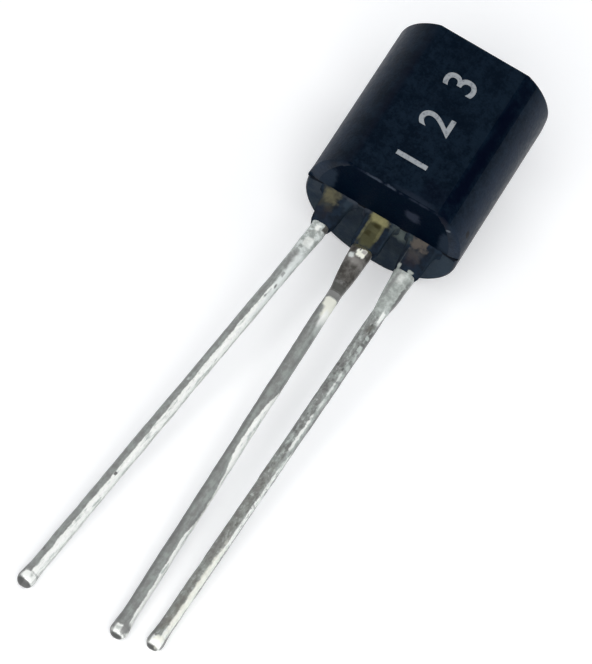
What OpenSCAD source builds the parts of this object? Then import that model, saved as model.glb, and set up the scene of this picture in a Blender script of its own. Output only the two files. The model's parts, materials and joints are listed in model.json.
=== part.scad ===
// TO-92 transistor: a D-shaped epoxy moulding on three stamped leads, with the chip, its
// attach layer and two bond wires inside.
// Every sub-part is drawn upright: X runs across the flat, Y from the flat to the round back
// and Z from the leads to the closed end. Y = 0 is the parting plane of the mould, which is
// also the front face of the lead strip. Z = 0 is the end of the body that the leads leave.
// lie_down() then lays the whole part on its round back, as it comes to rest on a table.

/* [Body] */
// Width of the body at the parting plane
body_w = 4.5; // [4.3:0.05:4.8]
// Height of the body at the parting plane
body_h = 5.16; // [4.8:0.02:5.4]
// Depth of the front half, from the parting plane to the flat
front_depth = 1.48; // [1.3:0.02:1.7]
// Depth of the rear half, from the parting plane to the back
back_depth = 2.6; // [2.3:0.05:2.8]
// Width of the flat, out to where the arched sides would meet it without a rounded edge
flat_w = 2.66; // [2.2:0.02:3]
// Straight part of each side of the rear half
side_land = 0.4; // [0:0.05:0.6]

/* [Mould] */
// Height that the front half loses at each end on the way to the flat
front_draft = 0.04; // [0:0.01:0.2]
// Height that the rear half loses at each end on the way to the back
back_draft = 0.2; // [0:0.01:0.3]
// Corner radius of the body, seen from the flat
corner_r = 0.08; // [0.04:0.01:0.3]
// Width of the bevel that takes that corner's place at each lower corner of the front half
bevel_w = 0.39; // [0.1:0.01:0.6]
// Height of that bevel
bevel_h = 0.1; // [0.04:0.01:0.3]
// Radius between the flat and each side of the front half
side_edge_r = 0.3; // [0.1:0.02:0.6]
// Edge radius at the upper and lower end of the flat
flat_edge_r = 0.05; // [0.02:0.01:0.12]
// Edge radius between the round back and the ends of the body
back_edge_r = 0.1; // [0.04:0.02:0.3]
// How far a fin of flash stands out at the lower left end of the parting line
flash_out = 0.06; // [0.02:0.01:0.12]
// Height of that fin
flash_h = 0.5; // [0.2:0.05:1]
// Thickness of that fin
flash_t = 0.06; // [0.03:0.01:0.1]
// Width of the web of bled resin on each side of a neck, next to the body
web_w = 0.12; // [0.05:0.01:0.2]
// Radius that blends a web into the end of the body
web_flare = 0.12; // [0.04:0.01:0.2]
// Thickness of the resin film on the faces of a neck
film_t = 0.03; // [0.02:0.005:0.06]

/* [Lead strip] */
// Distance between neighbouring leads where they leave the body
pitch = 1.27; // [1.2:0.01:1.35]
// Thickness of the strip
lead_t = 0.4; // [0.36:0.01:0.45]
// Width of a lead
lead_w = 0.38; // [0.36:0.01:0.44]
// Width of a lead's neck, in the body and just below it
neck_w = 0.5; // [0.44:0.01:0.54]
// Diameter of the rounded tip of a lead
tip_d = 0.46; // [0.45:0.01:0.55]
// Distance from the body to the stubs of the cut-off tie bar
stub_gap = 1.1; // [0.6:0.05:1.4]
// Length over which a neck changes to the width of its stub
stub_step = 0.1; // [0.05:0.01:0.2]
// Length of those stubs
stub_l = 0.8; // [0.5:0.05:1]
// Share of a stub's extra width that is lost along the stub
stub_waist = 0.4; // [0:0.05:0.8]
// Length over which the rest of it is lost below the stub
stub_taper = 0.5; // [0.2:0.05:0.8]

/* [Left lead] */
// Length below the body
left_l = 14.3; // [12.7:0.1:14.8]
// Width over the stub
left_stub_w = 0.46; // [0.46:0.01:0.66]
// How far the tip is splayed outwards
left_splay = 1.35; // [0:0.02:2]
// Distance below the body at which the splay starts
left_bend = 1.3; // [0.3:0.05:3]

/* [Middle lead] */
// Length below the body
middle_l = 14.2; // [12.7:0.1:14.3]
// Width over the stub
middle_stub_w = 0.6; // [0.46:0.01:0.66]
// Sideways shift of the tip, to the right
middle_shift = 0.05; // [-0.3:0.01:0.3]
// Distance below the body at which the shift starts
middle_bend = 1.9; // [1:0.05:4]
// Depth of the small S-bend below the stub
kink_depth = 0.14; // [0:0.01:0.25]
// Distance below the body at which the S-bend starts
kink_start = 1.25; // [0.5:0.05:2]
// Length of the S-bend
kink_l = 2.05; // [1.5:0.05:3]

/* [Right lead] */
// Length below the body
right_l = 13.95; // [12.7:0.05:14.3]
// Width over the stub
right_stub_w = 0.59; // [0.46:0.01:0.66]
// How far the tip leans inwards
right_lean = 0.31; // [0:0.02:1]
// Distance below the body at which the lean starts
right_bend = 1.9; // [0.3:0.05:4]

/* [Inside the body] */
// Distance from the body's end to the bond posts
post_gap = 1.6; // [1.2:0.05:1.8]
// Width of a bond post
post_w = 0.9; // [0.7:0.05:1]
// Height of a bond post
post_h = 0.85; // [0.6:0.05:0.9]
// Distance from the bond posts to the chip's pad
pad_gap = 0.3; // [0.2:0.05:0.5]
// Width of the chip's pad
pad_w = 1.5; // [1.2:0.05:1.7]
// Height of the chip's pad
pad_h = 1.4; // [1.1:0.05:1.5]
// Chamfer on the corners of the posts and the pad
pad_chamfer = 0.15; // [0.05:0.01:0.25]
// Diameter of the notches that lock a neck in the epoxy
notch_d = 0.22; // [0.1:0.01:0.3]
// Distance from the body's end to those notches
notch_z = 0.8; // [0.4:0.05:1]
// Side of the square chip
chip_w = 0.55; // [0.4:0.01:0.7]
// Thickness of the chip
chip_t = 0.2; // [0.12:0.01:0.3]
// Side of the square attach layer
attach_w = 0.66; // [0.58:0.01:0.8]
// Thickness of the attach layer
attach_t = 0.03; // [0.02:0.005:0.05]
// Diameter of a bond wire
wire_d = 0.05; // [0.03:0.005:0.07]
// Height of a bond wire's loop above the chip
loop_h = 0.3; // [0.15:0.05:0.5]
// Distance of each bond from the middle of the chip
bond_x = 0.14; // [0.08:0.01:0.18]
// Diameter of the ball and of the wedge that end a wire
bond_d = 0.13; // [0.1:0.01:0.16]
// Thickness of the ball and of the wedge
bond_t = 0.04; // [0.03:0.005:0.06]

/* [Hidden] */
$fn = 48;

// Steps of each curve of the moulding and of a bond wire
ARC_STEPS = 11;
BACK_STEPS = 15;
CORNER_STEPS = 7;
EDGE_STEPS = 3;
WIRE_STEPS = 12;
WIRE_SIDES = 8;
// Share of a wedge's thickness at which the wire ends in it
WEDGE_SHARE = 0.8;
// The last angle on the round back, which leaves a narrow strip down its middle
BACK_END = 88;
// How far the front half runs into the rear half, and how much smaller it is there
OVERLAP = 0.3;
OVERLAP_INSET = 0.1;
// The smallest corner radius of a section, and the largest share of its half width
MIN_R = 0.02;
MAX_R_SHARE = 0.9;
// How fast the bevel narrows towards the flat
BEVEL_FADE = 4;
// How far the flash and the webs reach past the end of the body, so that they fuse with it
ROOT = 0.2;
// A length past every cut, and a short one
PAST = 1;
SKIM = 0.1;
// Steps of the S-bend, and the share of it that leads back from the viewer
KINK_STEPS = 10;
KINK_TURN = 0.6;

EPOXY = [0.09, 0.11, 0.15];
TIN = [0.68, 0.69, 0.67];
SILICON = [0.35, 0.37, 0.42];
SOLDER = [0.5, 0.5, 0.5];
GOLD = [0.9, 0.72, 0.3];

// Each side of the front half is an arc that leaves the rear half square to the parting plane,
// and a smaller arc that blends it into the flat
half_w = body_w / 2;
side_run = half_w - flat_w / 2;
side_r = (side_run * side_run + front_depth * front_depth) / (2 * side_run);
side_x = half_w - side_r;
edge_depth = front_depth - side_edge_r;
edge_x = side_x + sqrt(pow(side_r - side_edge_r, 2) - edge_depth * edge_depth);
side_end = atan2(edge_depth, edge_x - side_x);
function front_half_w(depth) =
    depth <= side_r * sin(side_end) ? side_x + sqrt(side_r * side_r - depth * depth)
    : edge_x + sqrt(max(side_edge_r * side_edge_r - pow(depth - edge_depth, 2), 0));

// A section of the body is [place in Y, half width, lower end, upper end, lower corners, upper
// corners], where a corner is a quarter of an ellipse: [width, height]
function less(corner, d) = [for (r = corner) max(r - d, MIN_R)];
function inset(s, d) = [s[0], s[1] - d, s[2] + d, s[3] - d, less(s[4], d), less(s[5], d)];
function bevel(share) =
    let (fade = 1 - pow(share, BEVEL_FADE))
    [corner_r + (bevel_w - corner_r) * fade, corner_r + (bevel_h - corner_r) * fade];
function front_section(depth) =
    let (share = depth / front_depth)
    [-depth, front_half_w(depth), front_draft * share, body_h - front_draft * share,
     bevel(share), [corner_r, corner_r]];
function front_rim(angle) =
    let (land = front_depth - flat_edge_r, depth = land + flat_edge_r * sin(angle),
         s = inset(front_section(land), flat_edge_r * (1 - cos(angle))))
    [-depth, front_half_w(depth), s[2], s[3], s[4], s[5]];
function back_rise(y) =
    let (past = max(y - (back_depth - back_edge_r), 0))
    back_draft * y / back_depth + back_edge_r - sqrt(back_edge_r * back_edge_r - past * past);
function back_section(y, w) =
    let (r = min(corner_r, MAX_R_SHARE * w))
    [y, w, back_rise(y), body_h - back_rise(y), [r, r], [r, r]];

arc_end = asin((front_depth - flat_edge_r) / side_r);
front_sections = concat(
    [inset([OVERLAP, half_w, 0, body_h, bevel(0), [corner_r, corner_r]], OVERLAP_INSET)],
    [for (i = [0:ARC_STEPS]) front_section(side_r * sin(arc_end * i / ARC_STEPS))],
    [for (i = [1:EDGE_STEPS]) front_rim(90 * i / EDGE_STEPS)]);
round_depth = back_depth - side_land;
back_sections = concat(
    [back_section(0, half_w)],
    [for (i = [(side_land > 0 ? 0 : 1):BACK_STEPS]) let (a = BACK_END * i / BACK_STEPS)
        back_section(side_land + round_depth * sin(a), half_w * cos(a))]);

// Leads: [place across, length, stub width, shift of the tip, where the shift starts]
left_lead = [-pitch, left_l, left_stub_w, -left_splay, left_bend];
middle_lead = [0, middle_l, middle_stub_w, middle_shift, middle_bend];
right_lead = [pitch, right_l, right_stub_w, -right_lean, right_bend];
longest = max(left_l, middle_l, right_l);

// Lying down: the line from the longest tip that just touches the body's lower back edge
lie_angle = max([for (s = back_sections) atan((s[0] - lead_t) / (s[2] + longest))]);
lie_z = longest * sin(lie_angle) + lead_t * cos(lie_angle);
far_y = max([for (s = back_sections) s[3] * cos(lie_angle) + s[0] * sin(lie_angle)]);
near_y = -longest * cos(lie_angle);
left_x = min(-half_w - flash_out, tip_x(left_lead) - tip_d / 2);
right_x = max(half_w, tip_x(right_lead) + tip_d / 2);

// Tops of the bond posts and of the chip's pad, and the middle of the chip
post_top = post_gap + post_h;
pad_low = post_top + pad_gap;
chip_z = pad_low + pad_h / 2;
chip_front = attach_t + chip_t;

// Lays the upright part on its back, with the tips of the leads on the surface
module lie_down() {
    translate([-(left_x + right_x) / 2, -(near_y + far_y) / 2, lie_z])
        rotate([lie_angle - 90, 0, 0]) children();
}

// ---- Moulding ----

// One section's rounded outline, anticlockwise in X and Z
function outline(s) =
    let (low = s[4], high = s[5],
         corners = [[s[1] - low[0], s[2] + low[1], low, -90], [s[1] - high[0], s[3] - high[1], high, 0],
                    [high[0] - s[1], s[3] - high[1], high, 90], [low[0] - s[1], s[2] + low[1], low, 180]])
    [for (c = corners) for (i = [0:CORNER_STEPS]) let (a = c[3] + 90 * i / CORNER_STEPS)
        [c[0] + c[2][0] * cos(a), s[0], c[1] + c[2][1] * sin(a)]];

// Solid through a list of sections that run towards -Y
module loft(sections) {
    n = 4 * (CORNER_STEPS + 1);
    last = (len(sections) - 1) * n;
    points = [for (s = sections) each outline(s)];
    caps = [[for (i = [0:n - 1]) i], [for (i = [n - 1:-1:0]) last + i]];
    sides = [for (k = [0:len(sections) - 2]) for (i = [0:n - 1])
        let (a = k * n + i, b = k * n + (i + 1) % n) each [[a, a + n, b], [b, a + n, b + n]]];
    polyhedron(points, concat(caps, sides));
}

module front_half() {
    loft(front_sections);
}

module back_half() {
    loft([for (i = [len(back_sections) - 1:-1:0]) back_sections[i]]);
}

// Fin of flash at the lower left end of the parting line
module flash() {
    translate([0, flash_t, 0]) rotate([90, 0, 0]) linear_extrude(flash_t)
        polygon([[-half_w + flash_t, flash_h], [-half_w, flash_h], [-half_w - flash_out, MIN_R],
                 [-half_w + 2 * flash_t, MIN_R]]);
}

// Resin that bled along a neck as far as the tie bar: a thin film on its faces, and a web on
// each side, which flares into the body and narrows to the film's thickness
module bleed(l) {
    web_x = neck_w / 2 + web_w;
    flare = [for (i = [0:CORNER_STEPS]) let (a = 90 * i / CORNER_STEPS)
        [web_x + web_flare * (1 - sin(a)), web_flare * (cos(a) - 1)]];
    edge = concat([[web_x + web_flare, ROOT]], flare, [[neck_w / 2 + film_t, stub_step - stub_gap]]);
    mirrored = [for (i = [len(edge) - 1:-1:0]) [-edge[i][0], edge[i][1]]];
    translate([l[0], lead_t + film_t, 0]) rotate([90, 0, 0]) linear_extrude(lead_t + 2 * film_t)
        polygon(concat(edge, mirrored));
}

module body() {
    color(EPOXY) lie_down() difference() {
        union() {
            front_half();
            back_half();
            flash();
            for (l = [left_lead, middle_lead, right_lead]) bleed(l);
        }
        left();
        middle();
        right();
        attach_plate();
        chip_plate();
        wire(-1);
        wire(1);
    }
}

// ---- Leads ----

// Centre of a lead at a depth below the body, and the middle of its round tip
function lead_x(l, depth) = l[0] + l[3] * max(depth - l[4], 0) / (l[1] - l[4]);
function tip_x(l) = lead_x(l, l[1] - tip_d / 2);

// Outline of a lead below the body, seen from the flat: neck, stub, plain lead and round tip
module lead_outline(l) {
    stub_end = stub_gap + stub_l;
    tip = l[1] - tip_d / 2;
    stations = [[0, neck_w], [stub_gap - stub_step, neck_w], [stub_gap, l[2]],
                [stub_end, l[2] - stub_waist * (l[2] - lead_w)],
                [stub_end + stub_taper, lead_w], [tip - tip_d, lead_w], [tip, tip_d]];
    left = [for (s = stations) [lead_x(l, s[0]) - s[1] / 2, -s[0]]];
    right = [for (i = [len(stations) - 1:-1:0]) let (s = stations[i])
        [lead_x(l, s[0]) + s[1] / 2, -s[0]]];
    polygon(concat(left, right));
    translate([lead_x(l, tip), -tip]) circle(d = tip_d);
}

// Neck inside the body, with a notch in each edge that locks it in the epoxy
module neck_outline(l, top) {
    difference() {
        translate([l[0] - neck_w / 2, -SKIM]) square([neck_w, top + SKIM]);
        for (side = [-1, 1]) translate([l[0] + side * neck_w / 2, notch_z]) circle(d = notch_d);
    }
}

// Rectangle with chamfered corners, standing on Z = 0 at X = 0
module chamfered(w, h) {
    c = pad_chamfer;
    polygon([[-w / 2 + c, 0], [w / 2 - c, 0], [w / 2, c], [w / 2, h - c], [w / 2 - c, h],
             [-w / 2 + c, h], [-w / 2, h - c], [-w / 2, c]]);
}

module post_outline(l) {
    neck_outline(l, post_gap + pad_chamfer);
    translate([l[0], post_gap]) chamfered(post_w, post_h);
}

module pad_outline(l) {
    neck_outline(l, pad_low + pad_chamfer);
    translate([l[0], pad_low]) chamfered(pad_w, pad_h);
}

// How far a lead's front face lies behind the parting plane at a depth below the body: the
// S-bend, then a lean that brings the tip of a shorter lead down to the surface as well
function bend_y(depth, kink) =
    let (u = (depth - kink_start) / kink_l)
    u <= 0 || u >= 1 ? 0
    : u < KINK_TURN ? kink * (1 - cos(180 * u / KINK_TURN)) / 2
    : kink * (1 + cos(180 * (u - KINK_TURN) / (1 - KINK_TURN))) / 2;
function lead_y(l, depth, kink) =
    bend_y(depth, kink)
    + (longest - l[1]) * tan(lie_angle) * max(depth - l[4], 0) / (l[1] - l[4]);

// Side view of the bent strip, from above the pad to past the tip
module strip_profile(l, kink) {
    bends = [for (i = [0:KINK_STEPS]) kink_start + kink_l * i / KINK_STEPS];
    depths = concat([-body_h, 0], bends, [l[1] + PAST]);
    front = [for (d = depths) [lead_y(l, d, kink), -d]];
    back = [for (i = [len(depths) - 1:-1:0]) [front[i][0] + lead_t, front[i][1]]];
    polygon(concat(front, back));
}

// A lead is its outline, cut through the full depth, where it meets the bent strip.
// Its child is the outline of its end inside the body.
module lead(l, kink = 0) {
    intersection() {
        translate([0, lead_t + PAST, 0]) rotate([90, 0, 0]) linear_extrude(lead_t + 2 * PAST) {
            lead_outline(l);
            children();
        }
        translate([-body_w, 0, 0]) rotate([90, 0, 90]) linear_extrude(2 * body_w) strip_profile(l, kink);
    }
}

module left() {
    lead(left_lead) post_outline(left_lead);
}

module middle() {
    lead(middle_lead, kink_depth) pad_outline(middle_lead);
}

module right() {
    lead(right_lead) post_outline(right_lead);
}

module lead_1() {
    color(TIN) lie_down() left();
}

module lead_2() {
    color(TIN) lie_down() middle();
}

module lead_3() {
    color(TIN) lie_down() right();
}

// ---- Chip and wires ----

// Square plate on the pad, with its rear face a distance in front of the parting plane
module plate(w, t, behind) {
    translate([-w / 2, -behind - t, chip_z - w / 2]) cube([w, t, w]);
}

module attach_plate() {
    plate(attach_w, attach_t, 0);
}

module chip_plate() {
    plate(chip_w, chip_t, attach_t);
}

module chip() {
    color(SILICON) lie_down() chip_plate();
}

module chip_attach() {
    color(SOLDER) lie_down() attach_plate();
}

function curve(a, b, c, d, t) =
    let (u = 1 - t) u * u * u * a + 3 * u * u * t * b + 3 * u * t * t * c + t * t * t * d;
function unit(v) = v / norm(v);

// Round wire along a path that lies in one plane; across is that plane's normal
module tube(path, d, across) {
    n = WIRE_SIDES;
    last = len(path) - 1;
    rings = [for (i = [0:last])
        let (along = unit(path[min(i + 1, last)] - path[max(i - 1, 0)]), up = cross(along, across))
        each [for (k = [0:n - 1]) let (a = 360 * k / n) path[i] + d / 2 * (cos(a) * across + sin(a) * up)]];
    caps = [[for (k = [0:n - 1]) k], [for (k = [n - 1:-1:0]) last * n + k]];
    sides = [for (i = [0:last - 1]) for (k = [0:n - 1])
        let (a = i * n + k, b = i * n + (k + 1) % n) each [[a, a + n, b], [b, a + n, b + n]]];
    polyhedron(rings, concat(caps, sides));
}

// Flat round bond that stands out towards the flat from a place on a face
module bond(place) {
    translate(place) rotate([90, 0, 0]) cylinder(d = bond_d, h = bond_t);
}

// One gold wire: ball on the chip, loop, wedge on the post. side is -1 for the left post.
module wire(side) {
    from = [side * bond_x, -chip_front, chip_z - bond_x];
    to = [side * pitch, 0, post_top - post_h / 2];
    top = -chip_front - loop_h;
    start = from - [0, bond_t / 2, 0];
    end = to - [0, WEDGE_SHARE * bond_t, 0];
    rise = [start[0], top - loop_h / 2, start[2]];
    fall = [end[0] + (start[0] - end[0]) / 3, top, end[2] + (start[2] - end[2]) / 3];
    path = [for (i = [0:WIRE_STEPS]) curve(start, rise, fall, end, i / WIRE_STEPS)];
    tube(path, wire_d, unit(cross(end - start, [0, 1, 0])));
    bond(from);
    bond(to);
}

module bond_wire_1() {
    color(GOLD) lie_down() wire(-1);
}

module bond_wire_2() {
    color(GOLD) lie_down() wire(1);
}

body();
lead_1();
lead_2();
lead_3();
chip();
chip_attach();
bond_wire_1();
bond_wire_2();
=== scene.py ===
import json
import math
from collections import namedtuple

import bmesh
import bpy
from mathutils import Matrix, Vector


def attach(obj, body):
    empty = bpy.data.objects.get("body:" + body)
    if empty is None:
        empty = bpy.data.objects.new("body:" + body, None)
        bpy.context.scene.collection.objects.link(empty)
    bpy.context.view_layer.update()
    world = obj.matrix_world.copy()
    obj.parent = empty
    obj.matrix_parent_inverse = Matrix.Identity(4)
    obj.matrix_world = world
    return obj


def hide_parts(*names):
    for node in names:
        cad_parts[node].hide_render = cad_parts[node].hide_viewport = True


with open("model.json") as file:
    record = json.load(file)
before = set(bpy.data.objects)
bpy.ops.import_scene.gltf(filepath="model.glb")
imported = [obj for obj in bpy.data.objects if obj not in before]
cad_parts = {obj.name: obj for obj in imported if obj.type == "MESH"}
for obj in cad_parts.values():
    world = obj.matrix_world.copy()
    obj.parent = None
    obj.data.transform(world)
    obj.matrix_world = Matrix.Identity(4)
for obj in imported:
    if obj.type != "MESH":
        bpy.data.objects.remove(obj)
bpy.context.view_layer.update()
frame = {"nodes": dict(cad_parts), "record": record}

# ---- How the part lies ----
# A loose transistor rests on its round back and the tips of its leads. Each piece is shaped
# upright in millimetres, with X across the flat, Y from the flat to the round back and Z from
# the leads to the closed end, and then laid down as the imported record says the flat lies.
MM = 0.001
BODY_W = 4.5
BODY_H = 5.16
FRONT_DEPTH = 1.48

flat = next(m for m in frame["record"]["mounts"] if m["name"] == "flat_front")
lie_angle = math.asin(-flat["axis"][1])
turn_down = Matrix.Rotation(lie_angle - math.pi / 2, 4, "X")
flat_middle = Vector((0, -FRONT_DEPTH, BODY_H / 2)) * MM
resting_place = Vector(flat["pos_m"]) - turn_down @ flat_middle
lie_down = Matrix.Translation(resting_place) @ turn_down @ Matrix.Scale(MM, 4)


def select_only(pieces):
    """Selects these pieces and nothing else, with the first one active."""
    bpy.ops.object.select_all(action="DESELECT")
    for piece in pieces:
        piece.select_set(True)
    bpy.context.view_layer.objects.active = pieces[0]


def settle(piece, place=Matrix.Identity(4)):
    """Lays a piece down and leaves its place in its mesh, with its object at the origin."""
    piece.matrix_world = lie_down @ place
    select_only([piece])
    bpy.ops.object.transform_apply(location=True, rotation=True, scale=True)


# ---- Camera ----
# A long lens looks down on the flat from the side of the leads, a little to the right, and is
# rolled so that the part lies aslant in the picture.
PICTURE_W = 592
PICTURE_H = 664
VIEW_AZIMUTH = math.radians(5.12)
VIEW_BELOW = math.radians(29.0)
VIEW_ROLL = math.radians(32.94)
VIEW_DISTANCE = 151.1
PIXELS_PER_MM = 38.46
LEAD_SIDE_PIXEL = (382.65, 218.09)
SENSOR_W = 36
NEAREST_SEEN = 0.01
FARTHEST_SEEN = 10

focal_pixels = PIXELS_PER_MM * VIEW_DISTANCE
to_camera = Vector((
    math.sin(VIEW_AZIMUTH) * math.cos(VIEW_BELOW),
    -math.cos(VIEW_AZIMUTH) * math.cos(VIEW_BELOW),
    -math.sin(VIEW_BELOW),
))
level = Vector((0, 0, 1)).cross(to_camera).normalized()
climb = to_camera.cross(level)
picture_x = math.cos(VIEW_ROLL) * level + math.sin(VIEW_ROLL) * climb
picture_y = math.cos(VIEW_ROLL) * climb - math.sin(VIEW_ROLL) * level
aside = (LEAD_SIDE_PIXEL[0] - PICTURE_W / 2) / PIXELS_PER_MM
above = (PICTURE_H / 2 - LEAD_SIDE_PIXEL[1]) / PIXELS_PER_MM
eye = to_camera * VIEW_DISTANCE - picture_x * aside - picture_y * above

camera = bpy.data.objects.new("camera", bpy.data.cameras.new("camera"))
bpy.context.scene.collection.objects.link(camera)
camera.data.sensor_width = SENSOR_W
camera.data.lens = focal_pixels * SENSOR_W / PICTURE_H
camera.data.clip_start = NEAREST_SEEN
camera.data.clip_end = FARTHEST_SEEN
aim = Matrix((picture_x, picture_y, to_camera)).transposed()
camera.matrix_world = Matrix.Translation(lie_down @ eye) @ turn_down @ aim.to_4x4()
bpy.context.scene.camera = camera

# ---- Floor ----
# A pale matt table top that runs far past the picture. To the camera and in reflections it is a
# little brighter than it is lit, so that it reads as clean white and still takes a shadow.
FLOOR_SIZE = 4.0
FLOOR_COLOUR = (0.86, 0.86, 0.86, 1)
FLOOR_LIFT = 0.27


class Nodes:
    """The node tree of a new material or group, with short ways to add and join nodes."""

    NOISE_REACH = (0.3, 0.7)

    def __init__(self, tree):
        self.tree = tree
        tree.nodes.clear()

    def add(self, kind, inputs=None, **settings):
        """Adds a node, sets its own settings, and joins or sets its inputs by name or number."""
        made = self.tree.nodes.new("ShaderNode" + kind)
        for name, value in settings.items():
            setattr(made, name, value)
        for name, value in (inputs or {}).items():
            if isinstance(value, bpy.types.NodeSocket):
                self.tree.links.new(value, made.inputs[name])
            else:
                made.inputs[name].default_value = value
        return made

    def math(self, operation, *values):
        """The result of a sum on plain values."""
        return self.add("Math", dict(enumerate(values)), operation=operation).outputs[0]

    def vector(self, operation, first, second, output=0):
        """The result of a sum on two vectors."""
        return self.add("VectorMath", {0: first, 1: second}, operation=operation).outputs[output]

    def split(self, vector):
        """The X, Y and Z of a vector."""
        return self.add("SeparateXYZ", {0: vector}).outputs

    def ramp(self, value, low, high, to_low=0.0, to_high=1.0):
        """A value that goes smoothly from to_low to to_high while another goes low to high."""
        inputs = {0: value, 1: low, 2: high, 3: to_low, 4: to_high}
        return self.add("MapRange", inputs, interpolation_type="SMOOTHSTEP").outputs[0]

    def mix(self, share, first, second):
        """A blend of two colours."""
        made = self.add("Mix", {0: share, 6: first, 7: second}, data_type="RGBA")
        return made.outputs[2]

    def noise(self, place, scale, detail, rough=0.5):
        """Cloudy noise between 0 and 1."""
        inputs = {"Vector": place, "Scale": scale, "Detail": detail, "Roughness": rough}
        return self.add("TexNoise", inputs).outputs[0]

    def between(self, noise, low, high):
        """A value that follows a noise from low to high, such as a roughness."""
        return self.ramp(noise, *self.NOISE_REACH, low, high)

    def group(self, tree, inputs):
        """What a shared group of nodes puts out."""
        return self.add("Group", inputs, node_tree=tree).outputs


def new_material(name):
    """A new material and its empty node tree."""
    made = bpy.data.materials.new(name)
    made.use_nodes = True
    return made, Nodes(made.node_tree)


def floor_paper():
    """Matt white paper that the camera and the reflections see a little lifted."""
    made, n = new_material("table_top")
    matt = n.add("BsdfDiffuse", {"Color": FLOOR_COLOUR})
    path = n.add("LightPath")
    seen = n.math("MAXIMUM", path.outputs["Is Camera Ray"], path.outputs["Is Glossy Ray"])
    lift = n.math("MULTIPLY", seen, FLOOR_LIFT)
    glow = n.add("Emission", {"Color": (1, 1, 1, 1), "Strength": lift})
    both = n.add("AddShader", {0: matt.outputs[0], 1: glow.outputs[0]})
    n.add("OutputMaterial", {"Surface": both.outputs[0]})
    return made


bpy.ops.object.select_all(action="DESELECT")
bpy.ops.mesh.primitive_plane_add(size=FLOOR_SIZE)
floor = bpy.context.object
floor.name = "table_top"
floor.data.materials.append(floor_paper())

# ---- Light ----
# A dim room above a bright horizon, and three soft boxes: a broad one overhead towards the
# camera, which lights the table, and a weak one high on either side for the metal.
ROOM_COLOUR = (0.15, 0.16, 0.18, 1)
HORIZON_COLOUR = (0.85, 0.92, 1.0, 1)
HORIZON_TOP = 0.06
ROOM_START = 0.34

# Each soft box: its place, width, height and power
BOXES = {
    "soft_box_above": ((0.02, -0.42, 0.50), 0.60, 0.60, 4.6),
    "soft_box_right": ((0.36, 0.20, 0.46), 0.40, 0.40, 0.35),
    "soft_box_left": ((-0.40, 0.24, 0.40), 0.26, 0.26, 0.15),
}

room = bpy.data.worlds.new("room")
room.use_nodes = True
sky = Nodes(room.node_tree)
upwards = sky.split(sky.add("TexCoord").outputs["Generated"])[2]
room_share = sky.ramp(upwards, HORIZON_TOP, ROOM_START)
backdrop = sky.add("Background", {"Color": sky.mix(room_share, HORIZON_COLOUR, ROOM_COLOUR)})
sky.add("OutputWorld", {"Surface": backdrop.outputs[0]})
bpy.context.scene.world = room

for name, (place, wide, high, power) in BOXES.items():
    box = bpy.data.lights.new(name, "AREA")
    box.shape = "RECTANGLE"
    box.size = wide
    box.size_y = high
    box.energy = power
    lamp = bpy.data.objects.new(name, box)
    bpy.context.scene.collection.objects.link(lamp)
    lamp.location = place
    lamp.rotation_euler = (-Vector(place)).to_track_quat("-Z", "Y").to_euler()

bpy.context.scene.view_settings.view_transform = "Standard"

# ---- Moulding ----
# The body is one transfer moulding in blue-black epoxy. Two halves of the mould meet at Y = 0,
# each with its own draft: the front one is arched and ends in the flat, the rear one is round.
# A fine line runs round the body where they met, and a fin of flash stands at its left end.
BACK_DEPTH = 2.6
FLAT_W = 2.66
SIDE_LAND = 0.4
FRONT_DRAFT = 0.04
BACK_DRAFT = 0.2
CORNER_R = 0.08
BEVEL_W = 0.39
BEVEL_H = 0.1
BEVEL_FADE = 4
SIDE_EDGE_R = 0.3
FLAT_EDGE_R = 0.05
BACK_EDGE_R = 0.1
MIN_R = 0.02
MAX_R_SHARE = 0.9
SEAM_DEPTH = 0.018
FRONT_STEPS = 24
BACK_STEPS = 26
EDGE_STEPS = 4
CORNER_STEPS = 8
BACK_END = 88
MIDDLE_Z = BODY_H / 2

# A section through a piece: its level along Z, its middle, its half sizes, and the width and
# depth of its two lower and its two upper corners, each a quarter of an ellipse
Section = namedtuple("Section", "z x y half_w half_d low high")


def corner_of(section, across, along):
    """The centre and the size of the corner on one side across (-1, 1) and along (-1, 1)."""
    wide, deep = section.high if along > 0 else section.low
    centre = (section.x + across * (section.half_w - wide),
              section.y + along * (section.half_d - deep), section.z)
    return Vector(centre), wide, deep


def pick(piece, test):
    """Selects just the vertices of the piece being edited whose places pass a test."""
    shape = bmesh.from_edit_mesh(piece.data)
    for v in shape.verts:
        v.select = test(v)
    shape.select_flush_mode()
    bmesh.update_edit_mesh(piece.data)


def reshape_end(piece, was, now):
    """Fits the selected end of a piece to another section, one rounded corner after another."""
    end = {v.index for v in bmesh.from_edit_mesh(piece.data).verts if v.select}
    for across in (-1, 1):
        for along in (-1, 1):
            old, old_w, old_d = corner_of(was, across, along)
            new, new_w, new_d = corner_of(now, across, along)
            pick(piece, lambda v: v.index in end and across * (v.co.x - was.x) > 0
                 and along * (v.co.y - was.y) > 0)
            bpy.ops.transform.resize(value=(new_w / old_w, new_d / old_d, 1), center_override=old)
            bpy.ops.transform.translate(value=(new.x - old.x, new.y - old.y, 0))
    pick(piece, lambda v: v.index in end)


def finish_editing():
    """Turns all faces of the piece being edited outwards and ends its editing."""
    bpy.ops.mesh.select_all(action="SELECT")
    bpy.ops.mesh.normals_make_consistent(inside=False)
    bpy.ops.object.mode_set(mode="OBJECT")


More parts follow.
